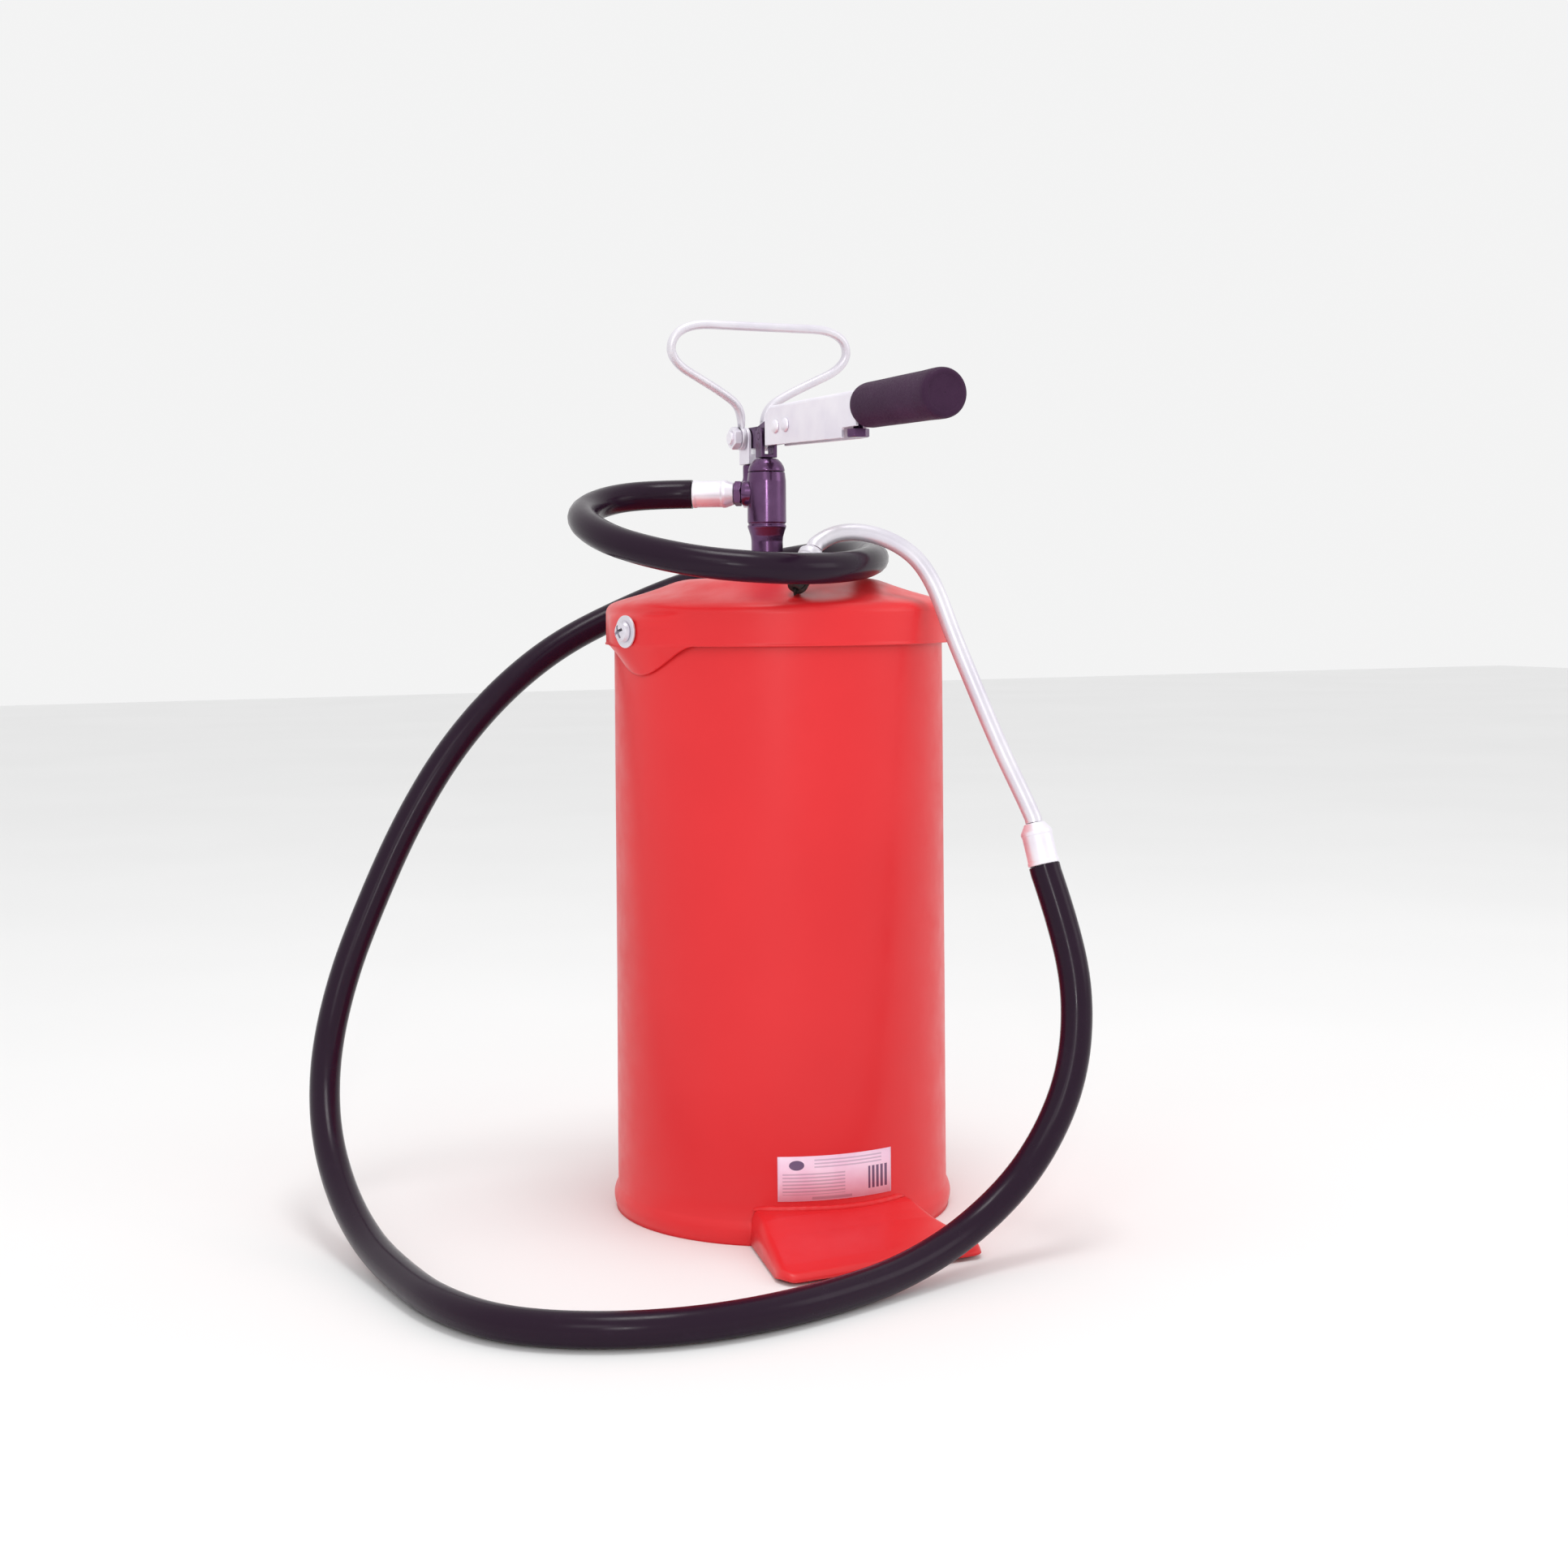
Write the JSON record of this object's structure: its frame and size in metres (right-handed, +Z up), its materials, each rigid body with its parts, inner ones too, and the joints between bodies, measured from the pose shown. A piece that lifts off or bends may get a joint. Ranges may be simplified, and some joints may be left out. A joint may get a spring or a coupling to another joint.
{
  "type": "bucket grease gun",
  "caption": "Hand-operated bucket grease pump with a bolted lid, pivoting lever, folding carry handle, foot plate and a rubber hose ending in a rigid tube and coupler.",
  "frame": {"origin": "on the floor under the middle of the body and lever, leaving out the hose and what is on it", "axes": "+Z up; the lever and the foot pedal point towards -Y; +X is to the right seen from the pedal side"},
  "size_m": [0.3947, 0.3641, 0.5388],
  "materials": {
    "red_paint": "glossy stove enamel",
    "zinc_plate": "bright zinc plate",
    "blue_plate": "dark violet-blue passivated plate",
    "bare_steel": "satin steel",
    "hose_rubber": "smooth glossy rubber",
    "grip_rubber": "matt rubber",
    "label_paper": "satin sticker",
    "dark_fibre": "matt"
  },
  "bodies": {
    "bucket": {"bucket_shell": "red_paint", "bucket_bottom": "red_paint", "foot_pedal": "red_paint", "label": "label_paper", "lid": "red_paint", "lid_gasket": "dark_fibre", "ear_washer_right": "zinc_plate", "ear_washer_left": "zinc_plate", "ear_screw_right": "zinc_plate", "ear_screw_left": "zinc_plate", "ear_nut_right": "zinc_plate", "ear_nut_left": "zinc_plate", "flange_gasket": "dark_fibre", "pump_body": "blue_plate", "flange_bolt_1": "zinc_plate", "flange_bolt_2": "zinc_plate", "flange_bolt_3": "zinc_plate", "packing": "dark_fibre", "gland_nut": "blue_plate", "suction_tube": "bare_steel", "strainer": "bare_steel", "inlet_seat": "bare_steel", "outlet_nut": "blue_plate", "fulcrum_bracket": "zinc_plate", "bracket_bolt": "zinc_plate", "fulcrum_bolt": "zinc_plate", "fulcrum_nut": "zinc_plate", "fulcrum_washer": "zinc_plate", "hose_ferrule_pump": "zinc_plate", "hose": "hose_rubber", "hose_ferrule_end": "zinc_plate", "delivery_tube": "zinc_plate", "coupler_body": "zinc_plate", "coupler_nose": "dark_fibre"},
    "lever": {"lever_tongue": "zinc_plate", "lever_channel": "zinc_plate", "lever_rivet_1": "zinc_plate", "lever_rivet_2": "zinc_plate", "grip_core": "bare_steel", "lever_bolt": "blue_plate", "grip": "grip_rubber"},
    "piston": {"piston_rod": "bare_steel", "rod_pin": "zinc_plate", "piston": "bare_steel", "piston_seal": "hose_rubber", "piston_nut": "zinc_plate"},
    "handle": {"carry_handle": "zinc_plate"},
    "follower": {"follower_plate": "bare_steel", "follower_seal": "hose_rubber"},
    "check_ball": {"inlet_ball": "zinc_plate"}
  },
  "joints": [
    {"name": "lever_hinge", "type": "hinge", "parent": "bucket", "child": "lever", "pos_m": [0, 0.0905, 0.4677], "axis": [-1, 0, 0], "range_deg": [0, 45]},
    {"name": "rod_slide", "type": "slide", "parent": "bucket", "child": "piston", "axis": [0, 0, 1], "range_m": [0, 0.0197]},
    {"name": "handle_fold", "type": "hinge", "parent": "bucket", "child": "handle", "pos_m": [0, 0.0905, 0.4677], "axis": [-1, 0, 0], "range_deg": [0, 80]},
    {"name": "follower_slide", "type": "slide", "parent": "bucket", "child": "follower", "axis": [0, 0, -1], "range_m": [0, 0.24]},
    {"name": "ball_lift", "type": "slide", "parent": "bucket", "child": "check_ball", "axis": [0, 0, 1], "range_m": [0, 0.004]}
  ],
  "couplings": [
    {"joint": "rod_slide", "follows": "lever_hinge", "m_per_rad": 0.025}
  ]
}
